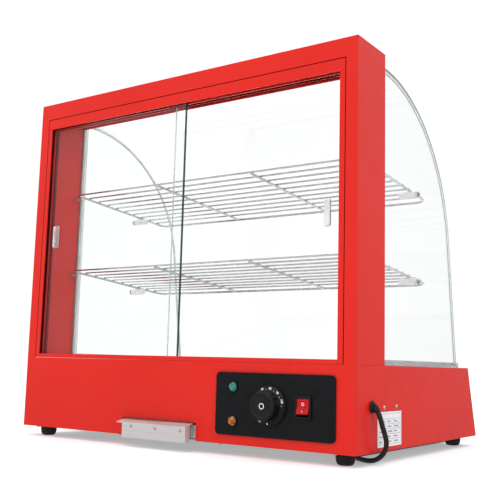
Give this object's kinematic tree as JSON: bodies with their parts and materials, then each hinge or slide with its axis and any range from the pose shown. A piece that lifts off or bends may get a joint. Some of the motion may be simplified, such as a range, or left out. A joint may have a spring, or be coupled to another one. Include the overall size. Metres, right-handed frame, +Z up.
{
  "type": "hot food display case",
  "caption": "Countertop hot food display case with a red steel base and door frame, curved front glass, wire shelves, sliding glass doors, dial, rocker switch and slide-out water tray.",
  "frame": {"origin": "on the counter under the middle of the case, measured without the power cord and what is on it", "axes": "+X to the right seen from the service side, +Y from the sliding doors towards the curved glass, +Z up"},
  "size_m": [0.679, 0.6143, 0.6045],
  "materials": {
    "red_paint": "glossy red powder coat",
    "galvanised": "galvanised sheet",
    "stainless": "brushed stainless steel",
    "element_steel": "heat-darkened steel tube",
    "glass": "clear toughened glass with a faint green edge",
    "gasket": "grey vinyl channel",
    "chrome_wire": "bright chrome plated wire",
    "clear_plastic": "translucent white plastic",
    "terminal_plastic": "moulded white plastic",
    "black_plastic": "black satin plastic",
    "green_lens": "translucent teal green lens",
    "amber_lens": "translucent amber lens",
    "red_lens": "translucent red rocker",
    "rubber": "black rubber",
    "cord": "black cord sheath"
  },
  "bodies": {
    "case": {"front_frame": "red_paint", "base_housing": "red_paint", "bottom_plate": "galvanised", "floor_plate": "stainless", "jamb_left": "red_paint", "jamb_right": "red_paint", "door_track_top": "red_paint", "door_track_bottom": "red_paint", "side_glass_left": "glass", "side_glass_right": "glass", "curved_glass": "glass", "side_gasket_left": "gasket", "side_gasket_right": "gasket", "front_gasket": "gasket", "upper_shelf_peg_left": "clear_plastic", "upper_peg_screw_left": "stainless", "upper_shelf_pin_left": "stainless", "upper_shelf_peg_right": "clear_plastic", "upper_peg_screw_right": "stainless", "upper_shelf_pin_right": "stainless", "lower_shelf_peg_left": "clear_plastic", "lower_peg_screw_left": "stainless", "lower_shelf_pin_left": "stainless", "lower_shelf_peg_right": "clear_plastic", "lower_peg_screw_right": "stainless", "lower_shelf_pin_right": "stainless", "control_panel": "black_plastic", "power_lamp": "green_lens", "heat_lamp": "amber_lens", "thermostat_body": "galvanised", "switch_housing": "black_plastic", "tray_runner_left": "galvanised", "tray_runner_right": "galvanised", "heating_element": "element_steel", "element_bracket_left": "galvanised", "element_bracket_right": "galvanised", "terminal_block": "terminal_plastic", "foot_front_left": "rubber", "foot_front_right": "rubber", "foot_back_left": "rubber", "foot_back_right": "rubber", "cord_gland": "rubber", "strain_relief": "rubber", "power_cord": "cord", "cord_coil": "cord", "coil_tie": "black_plastic", "plug": "cord"},
    "left_door": {"left_door_glass": "glass", "left_door_pull": "clear_plastic"},
    "right_door": {"right_door_glass": "glass", "right_door_pull": "clear_plastic"},
    "dial": {"thermostat_knob": "black_plastic", "thermostat_shaft": "stainless"},
    "rocker": {"switch_rocker": "red_lens"},
    "tray": {"water_tray": "stainless", "tray_handle": "stainless"},
    "upper_rack": {"upper_shelf": "chrome_wire"},
    "lower_rack": {"lower_shelf": "chrome_wire"}
  },
  "joints": [
    {"name": "left_door_slide", "type": "slide", "parent": "case", "child": "left_door", "axis": [1, 0, 0], "range_m": [0, 0.294]},
    {"name": "right_door_slide", "type": "slide", "parent": "case", "child": "right_door", "axis": [-1, 0, 0], "range_m": [0, 0.294]},
    {"name": "thermostat_turn", "type": "hinge", "parent": "case", "child": "dial", "pos_m": [0.194, -0.22455, 0.0763], "axis": [0, 1, 0], "range_deg": [0, 280]},
    {"name": "switch_rock", "type": "hinge", "parent": "case", "child": "rocker", "pos_m": [0.2505, -0.22255, 0.0765], "axis": [1, 0, 0], "range_deg": [0, 20]},
    {"name": "tray_slide", "type": "slide", "parent": "case", "child": "tray", "axis": [0, -1, 0], "range_m": [0, 0.2]},
    {"name": "upper_shelf_lift", "type": "slide", "parent": "case", "child": "upper_rack", "axis": [0, 0, 1], "range_m": [0, 0.04]},
    {"name": "lower_shelf_lift", "type": "slide", "parent": "case", "child": "lower_rack", "axis": [0, 0, 1], "range_m": [0, 0.04]}
  ]
}
